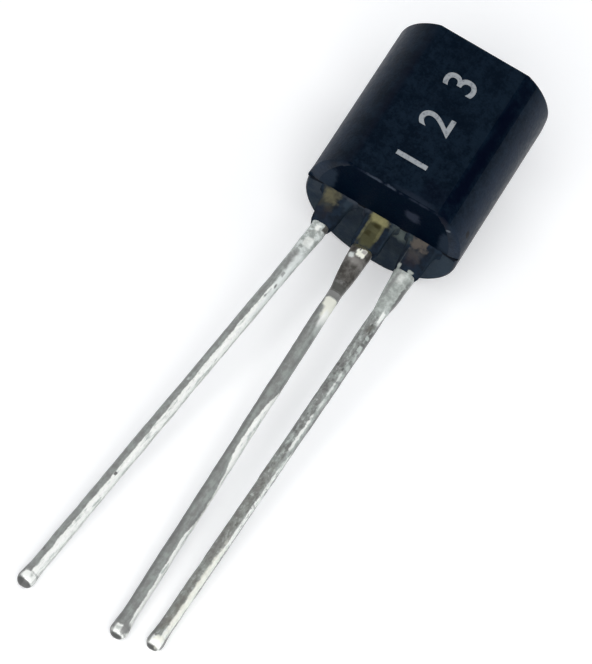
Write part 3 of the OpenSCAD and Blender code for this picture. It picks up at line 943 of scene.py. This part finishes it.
TIN_GREY = (0.230, 0.230, 0.222, 1)
TIN_MIST = (0.56, 0.60, 0.565, 1)
TIN_WARM = (0.42, 0.40, 0.375, 1)
TIN_BRIGHT = (0.78, 0.82, 0.79, 1)
TIN_PALE = (0.99, 1.0, 0.95, 1)
TIN_EDGE = (0.09, 0.09, 0.085, 1)
TIN_PIT = (0.10, 0.095, 0.075, 1)
# Cream for painted highlights on the tin
TIN_CREAM_HIGHLIGHT = (0.98, 0.98, 0.86, 1)
TIN_BROWN = (0.040, 0.036, 0.030, 1)
TIN_SMOKE = (0.115, 0.108, 0.098, 1)
TIN_SHADE = (0.130, 0.130, 0.125, 1)
TIN_OLIVE = (0.190, 0.176, 0.140, 1)
TIN_STEP_SHADE = (0.25, 0.25, 0.24, 1)
TIN_CUT_AND_SHADE = (0.060, 0.060, 0.058, 1)

# How far across its face the grey run of each lead reaches, at some depths. The grey run is
# partly dull tin and partly painted shade; the pale tin to its right is partly painted light.
RUN_DEPTH = 15.0
RUN_LOW = -0.2
RUN_SPAN = 0.5
GREY_RUNS = {
    "lead_1": [(1.8, 0.24), (2.5, 0.10), (3.3, 0.03), (4.3, 0.01), (6.5, 0.0), (9.0, 0.02),
               (14.0, 0.0)],
    "lead_2": [(5.2, 0.28), (5.9, 0.20), (6.5, 0.08), (7.1, 0.03), (7.7, 0.01), (8.3, 0.04),
               (8.8, 0.13), (9.4, 0.18), (10.3, 0.18), (11.0, 0.09), (12.5, 0.12), (14.0, 0.13)],
    "lead_3": [(6.8, 0.28), (7.6, 0.13), (9.0, 0.10), (10.5, 0.11), (12.0, 0.075), (13.5, 0.05)],
}

# The mottled tin next to the body: its two colours and the depth that it reaches. On the middle
# lead the dark brown is painted shade on the part of its S-bend that leans back.
NEAR_BODY = {
    "lead_1": (TIN_DULL, TIN_BRIGHT, 2.5),
    "lead_2": (TIN_BROWN, TIN_SMOKE, 2.35),
    "lead_3": (TIN_DULL, TIN_MIST, 2.6),
}

# How dark the painted shade along each lead's left edge is
SHADE_SHARE = {"lead_1": 0.15, "lead_2": 0.8, "lead_3": 0.25}

# How dark the thin line along its right edge is: painted shade where the rounded edge turns away
RIM_SHARE = {"lead_1": 0.4, "lead_2": 0.10, "lead_3": 0.75}

# How strongly its dip is speckled
SPECKS = {"lead_1": 0.2, "lead_2": 0.10, "lead_3": 0.72}

TIN_METALLIC = 0.12

# Marks in each dip: how far off the lead's middle, depth below the body, half width, half
# length, edge, raggedness, colour and share. Cream marks are painted highlights.
TIN_MARKS = {
    "lead_1": [
        (0.16, 1.10, 0.06, 0.14, 0.02, 0.10, TIN_BROWN, 0.9),
        (-0.02, 1.25, 0.05, 0.12, 0.03, 0.14, TIN_PALE, 0.9),
        (0.03, 1.75, 0.12, 0.16, 0.03, 0.16, TIN_PALE, 0.6),
        (-0.02, 2.35, 0.14, 0.22, 0.05, 0.16, TIN_GREY, 0.7),
        (0.12, 2.70, 0.10, 0.70, 0.050, 0.16, TIN_BRIGHT, 0.85),
        (0.14, 3.80, 0.06, 0.80, 0.040, 0.16, TIN_BRIGHT, 0.70),
        (0.06, 2.95, 0.03, 0.06, 0.015, 0.08, TIN_GREY, 0.7),
        (0.11, 3.37, 0.02, 0.08, 0.012, 0.05, TIN_EDGE, 0.8),
        (0.06, 3.75, 0.02, 0.06, 0.012, 0.06, TIN_GREY, 0.8),
        (-0.086, 7.02, 0.030, 0.05, 0.015, 0.05, TIN_MIST, 0.9),
        (0.05, 10.42, 0.035, 0.05, 0.012, 0.05, TIN_EDGE, 0.9),
        (-0.14, 13.25, 0.02, 0.06, 0.012, 0.05, TIN_EDGE, 0.8),
        (0.08, 14.08, 0.04, 0.06, 0.03, 0.12, TIN_DULL, 0.8),
        (-0.19, 14.05, 0.03, 0.12, 0.03, 0.10, TIN_SHADE, 0.8),
    ],
    "lead_2": [
        (0.0, 1.04, 0.26, 0.10, 0.03, 0.10, BRASS_DULL, 0.9),
        (0.0, 1.50, 0.24, 0.10, 0.07, 0.20, TIN_WARM, 0.45),
        (0.03, 1.24, 0.12, 0.13, 0.025, 0.18, TIN_CREAM_HIGHLIGHT, 0.95),
        (0.08, 1.17, 0.06, 0.05, 0.020, 0.10, TIN_WARM, 0.95),
        (-0.17, 1.40, 0.060, 0.07, 0.030, 0.12, TIN_BRIGHT, 0.75),
        (-0.03, 1.13, 0.020, 0.05, 0.010, 0.04, TIN_BROWN, 0.9),
        # The dark brown stretch, its grey step and the cream and pale stretch after it are painted
        # shade and painted highlight on the S-bend
        (0.0, 2.38, 0.40, 0.13, 0.05, 0.08, TIN_BROWN, 0.8),
        (0.0, 2.52, 0.40, 0.014, 0.010, 0.02, TIN_SMOKE, 1.0),
        (0.0, 2.64, 0.40, 0.10, 0.015, 0.05, TIN_STEP_SHADE, 1.0),
        (0.04, 2.93, 0.17, 0.17, 0.04, 0.10, TIN_CREAM_HIGHLIGHT, 1.0),
        (0.10, 3.20, 0.13, 0.24, 0.05, 0.10, TIN_CREAM_HIGHLIGHT, 0.95),
        (0.13, 3.48, 0.09, 0.24, 0.05, 0.10, TIN_PALE, 0.9),
        (0.14, 3.78, 0.06, 0.20, 0.05, 0.08, TIN_MIST, 0.7),
        (-0.05, 14.02, 0.08, 0.06, 0.04, 0.16, TIN_DULL, 0.7),
        (0.13, 13.93, 0.09, 0.16, 0.03, 0.14, TIN_GREY, 0.95),
        (-0.16, 13.98, 0.03, 0.14, 0.03, 0.10, TIN_GREY, 0.8),
    ],
    "lead_3": [
        (-0.17, 1.5, 0.04, 0.50, 0.03, 0.08, TIN_GREY, 0.7),
        (-0.02, 1.28, 0.08, 0.14, 0.06, 0.20, TIN_PALE, 0.5),
        (0.22, 1.80, 0.04, 0.55, 0.02, 0.10, TIN_SHADE, 0.9),
        (0.12, 2.62, 0.045, 0.20, 0.015, 0.07, TIN_PALE, 1.0),
        (0.05, 3.05, 0.06, 0.14, 0.03, 0.12, TIN_PIT, 0.7),
        (0.03, 2.92, 0.02, 0.04, 0.012, 0.05, TIN_EDGE, 0.9),
        (0.08, 3.14, 0.02, 0.05, 0.012, 0.05, TIN_EDGE, 0.9),
        (0.16, 3.22, 0.035, 0.20, 0.02, 0.08, TIN_EDGE, 0.8),
        (0.12, 3.32, 0.04, 0.05, 0.015, 0.06, TIN_MIST, 0.8),
        (0.13, 3.56, 0.05, 0.04, 0.02, 0.06, TIN_EDGE, 0.7),
        (0.12, 3.72, 0.05, 0.08, 0.02, 0.08, TIN_MIST, 0.7),
        (0.14, 4.05, 0.05, 0.07, 0.02, 0.08, TIN_MIST, 0.6),
        (-0.14, 4.38, 0.03, 0.05, 0.015, 0.05, TIN_EDGE, 0.8),
        (-0.02, 4.40, 0.04, 0.05, 0.02, 0.06, TIN_SHADE, 0.8),
        (0.05, 4.47, 0.03, 0.06, 0.015, 0.05, TIN_EDGE, 0.9),
        (0.13, 4.36, 0.04, 0.10, 0.02, 0.06, TIN_MIST, 0.7),
        (0.09, 5.2, 0.022, 0.60, 0.015, 0.12, TIN_PALE, 0.9),
        (0.06, 5.9, 0.025, 0.12, 0.015, 0.08, TIN_SHADE, 0.8),
        (0.11, 6.0, 0.050, 1.60, 0.030, 0.12, TIN_MIST, 0.55),
        (0.08, 6.7, 0.030, 0.55, 0.015, 0.12, TIN_PALE, 0.8),
        (-0.07, 8.9, 0.04, 0.03, 0.012, 0.05, TIN_MIST, 0.9),
        (0.03, 9.85, 0.03, 0.06, 0.012, 0.05, TIN_EDGE, 0.7),
        (-0.05, 10.8, 0.14, 2.90, 0.06, 0.30, TIN_OLIVE, 0.25),
        (0.02, 12.9, 0.10, 0.60, 0.06, 0.30, TIN_OLIVE, 0.3),
        (0.12, 12.1, 0.07, 1.55, 0.03, 0.10, TIN_CREAM_HIGHLIGHT, 0.75),
        (0.03, 13.72, 0.10, 0.12, 0.03, 0.12, TIN_CREAM_HIGHLIGHT, 0.8),
        (-0.17, 13.72, 0.03, 0.14, 0.03, 0.10, TIN_SHADE, 0.8),
    ],
}

# Marks on all three tips, the same, with how far short of the cut end each lies: a dark line of
# painted shade above the pale cap, the cap as a painted highlight, and the dark end, partly the
# bare cut metal and partly painted shade.
TIP_MARKS = [
    (0, 0.31, 0.4, 0.03, 0.02, 0.12, TIN_STEP_SHADE, 0.6),
    (0.01, 0.18, 0.18, 0.12, 0.03, 0.20, TIN_PALE, 1.0),
    (0, -0.02, 0.4, 0.07, 0.02, 0.05, TIN_CUT_AND_SHADE, 0.95),
]


def run_edge(n, depth, points):
    """The reach of the grey run at each depth, read from a ramp along the lead."""
    ramp = n.add("ValToRGB", {0: n.math("DIVIDE", depth, RUN_DEPTH)})
    stops = ramp.color_ramp.elements
    shares = [(at / RUN_DEPTH, (reach - RUN_LOW) / RUN_SPAN) for at, reach in points]
    for stop, (at, share) in zip((stops[0], stops[1]), (shares[0], shares[-1])):
        stop.position = at
        stop.color = (share, share, share, 1)
    for at, share in shares[1:-1]:
        stops.new(at).color = (share, share, share, 1)
    return n.math("MULTIPLY_ADD", ramp.outputs[0], RUN_SPAN, RUN_LOW)


def dipped_tin(name, lead):
    """Dull tin: a grey run along the left of the face, partly painted shade, and pale frosted
    metal on its right, partly painted light.
    """
    made, n = new_material("dipped_tin_" + name[-1])
    place = upright(n)
    start = lead.bend
    lean = -math.atan2(lead.shift, lead.length - start)
    along = n.add("Mapping", {"Vector": place, "Location": (lead_x(lead, start), 0, -start),
                              "Rotation": (0, lean, 0)}, vector_type="TEXTURE").outputs[0]
    parts = n.split(along)
    depth = n.math("SUBTRACT", start, parts[2])
    stretched = n.vector("MULTIPLY", along, (1.0, 1.0, 0.22))
    cloudy = n.noise(place, 4.5, 4.0, 0.6)
    streaks = n.noise(stretched, 9.0, 4.0, 0.6)
    wave = n.math("SUBTRACT", n.noise(along, 2.4, 4.0, 0.65), 0.5)
    wavy_x = n.math("MULTIPLY_ADD", wave, 0.12, parts[0])
    past = n.math("SUBTRACT", wavy_x, run_edge(n, depth, GREY_RUNS[name]))
    pale = n.ramp(past, -0.02, 0.015)
    tone_mask = n.math("MULTIPLY", n.math("ADD", cloudy, streaks), 0.5)
    grey = n.mix(n.ramp(tone_mask, 0.40, 0.60), TIN_GREY, TIN_DULL)
    # Painted shade along the left edge of the lead
    near_left = n.math("MULTIPLY_ADD", wave, 0.08, parts[0])
    grey = n.mix(n.ramp(near_left, -0.19, -0.05, SHADE_SHARE[name], 0.0), grey, TIN_SHADE)
    white = n.mix(n.ramp(streaks, 0.52, 0.68), TIN_PALE, TIN_MIST)
    colour = n.mix(pale, grey, white)
    speck = n.noise(n.vector("MULTIPLY", along, (1.0, 1.0, 0.55)), 10.0, 4.0, 0.65)
    most = n.math("MULTIPLY", n.ramp(depth, 7.5, 10.0, 1.0, 0.75), SPECKS[name])
    pale_specks = n.math("MULTIPLY", n.ramp(speck, 0.53, 0.64), most)
    dark_specks = n.math("MULTIPLY", n.ramp(speck, 0.47, 0.37), most)
    colour = n.mix(dark_specks, n.mix(pale_specks, colour, TIN_MIST), TIN_SHADE)
    first, second, reach = NEAR_BODY[name]
    near = n.ramp(n.math("MULTIPLY_ADD", wave, 0.9, depth), reach - 0.12, reach + 0.12, 1.0, 0.0)
    mottled = n.mix(n.ramp(n.noise(place, 6.5, 4.0, 0.6), 0.38, 0.70), first, second)
    colour = n.mix(near, colour, mottled)
    marks = [(off, lead.length - short, *rest) for off, short, *rest in TIP_MARKS]
    colour = blend_patches(n, along, colour, [
        ((off, 0, start - deep), (half_w, 1.0, half_l), edge, ragged, overlay, share)
        for off, deep, half_w, half_l, edge, ragged, overlay, share in marks + TIN_MARKS[name]
    ], 6.0)
    # A thin dark line of painted shade along the right edge
    rim = n.ramp(n.math("MULTIPLY_ADD", wave, 0.04, parts[0]), 0.172, 0.188)
    rim = n.math("MULTIPLY", rim, n.ramp(depth, 2.3, 2.6))
    broken = n.ramp(n.noise(along, 1.6, 4.0, 0.7), 0.36, 0.52, 0.3, 1.0)
    broken = n.math("MULTIPLY", broken, RIM_SHARE[name])
    colour = n.mix(n.math("MULTIPLY", rim, broken), colour, TIN_EDGE)
    fine = n.noise(place, 9.0, 3.0, 0.55)
    roughness = n.between(fine, 0.36, 0.48)
    relief = n.math("ADD", n.math("MULTIPLY", fine, 0.35), n.math("MULTIPLY", pale, 0.8))
    finish_surface(n, colour, roughness, relief, 0.006, metallic=TIN_METALLIC)
    return made


for name, lead in LEADS.items():
    pin = extrude_through("tinned_" + name, inner_sections(lead) + outer_sections(lead))
    apply_modifier(pin, "SUBSURF", levels=2, render_levels=2, subdivision_type="SIMPLE")
    for texture, high, middle in DIP_RELIEFS:
        apply_modifier(pin, "DISPLACE", texture=texture, strength=high, mid_level=middle)
    smooth(pin, PIN_CREASE)
    settle(pin)
    pin.data.materials.append(dipped_tin(name, lead))
    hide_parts(name)
    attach(pin, "root")

# ---- Chip, its solder and the bond wires ----
# A silicon die soldered to the pad of the middle lead, inside the moulding. Two drawn gold wires
# run from it to the posts of the outer leads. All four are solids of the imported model.
SILICON = (0.055, 0.065, 0.095, 1)
SILICON_EDGE = (0.020, 0.021, 0.026, 1)
CONTACT_METAL = (0.62, 0.63, 0.64, 1)
SOLDER_GREY = (0.34, 0.34, 0.35, 1)
SOLDER_DARK = (0.16, 0.16, 0.17, 1)
GOLD = (0.90, 0.62, 0.22, 1)
GOLD_DULL = (0.66, 0.42, 0.13, 1)
SILICON_METALLIC = 0.4
SOLDER_METALLIC = 0.85
GOLD_METALLIC = 1.0


def silicon_die():
    """Polished blue-grey silicon with comb-shaped contacts on its face."""
    made, n = new_material("silicon_die")
    place = upright(n)
    parts = n.split(place)
    face = n.add("CombineXYZ", {0: parts[0], 1: parts[2]}).outputs[0]
    comb = n.add("TexBrick", {"Vector": face, "Scale": 9.0, "Mortar Size": 0.035,
                              "Mortar Smooth": 0.1}).outputs["Fac"]
    cloudy = n.noise(place, 8.0, 4.0, 0.6)
    colour = n.mix(n.ramp(cloudy, 0.35, 0.65), SILICON, SILICON_EDGE)
    colour = n.mix(comb, colour, CONTACT_METAL)
    roughness = n.between(cloudy, 0.12, 0.22)
    finish_surface(n, colour, roughness, comb, 0.003, metallic=SILICON_METALLIC)
    return made


def die_solder():
    """Dull, grainy solder that has set in small crystals."""
    made, n = new_material("die_solder")
    place = upright(n)
    grain = n.noise(place, 16.0, 5.0, 0.7)
    colour = n.mix(n.ramp(grain, 0.35, 0.65), SOLDER_GREY, SOLDER_DARK)
    roughness = n.between(grain, 0.4, 0.65)
    finish_surface(n, colour, roughness, grain, 0.006, metallic=SOLDER_METALLIC)
    return made


def drawn_gold():
    """Gold wire with the fine lines of the drawing die along it."""
    made, n = new_material("drawn_gold")
    place = upright(n)
    lines = n.noise(n.vector("MULTIPLY", place, (4.0, 60.0, 60.0)), 1.0, 3.0, 0.6)
    colour = n.mix(n.ramp(lines, 0.4, 0.7), GOLD, GOLD_DULL)
    roughness = n.between(lines, 0.16, 0.3)
    finish_surface(n, colour, roughness, lines, 0.001, metallic=GOLD_METALLIC)
    return made


gold = drawn_gold()
inner_finishes = {"chip": silicon_die(), "chip_attach": die_solder(), "bond_wire_1": gold,
                  "bond_wire_2": gold}
for name, finish in inner_finishes.items():
    for slot in frame["nodes"][name].material_slots:
        slot.material = finish
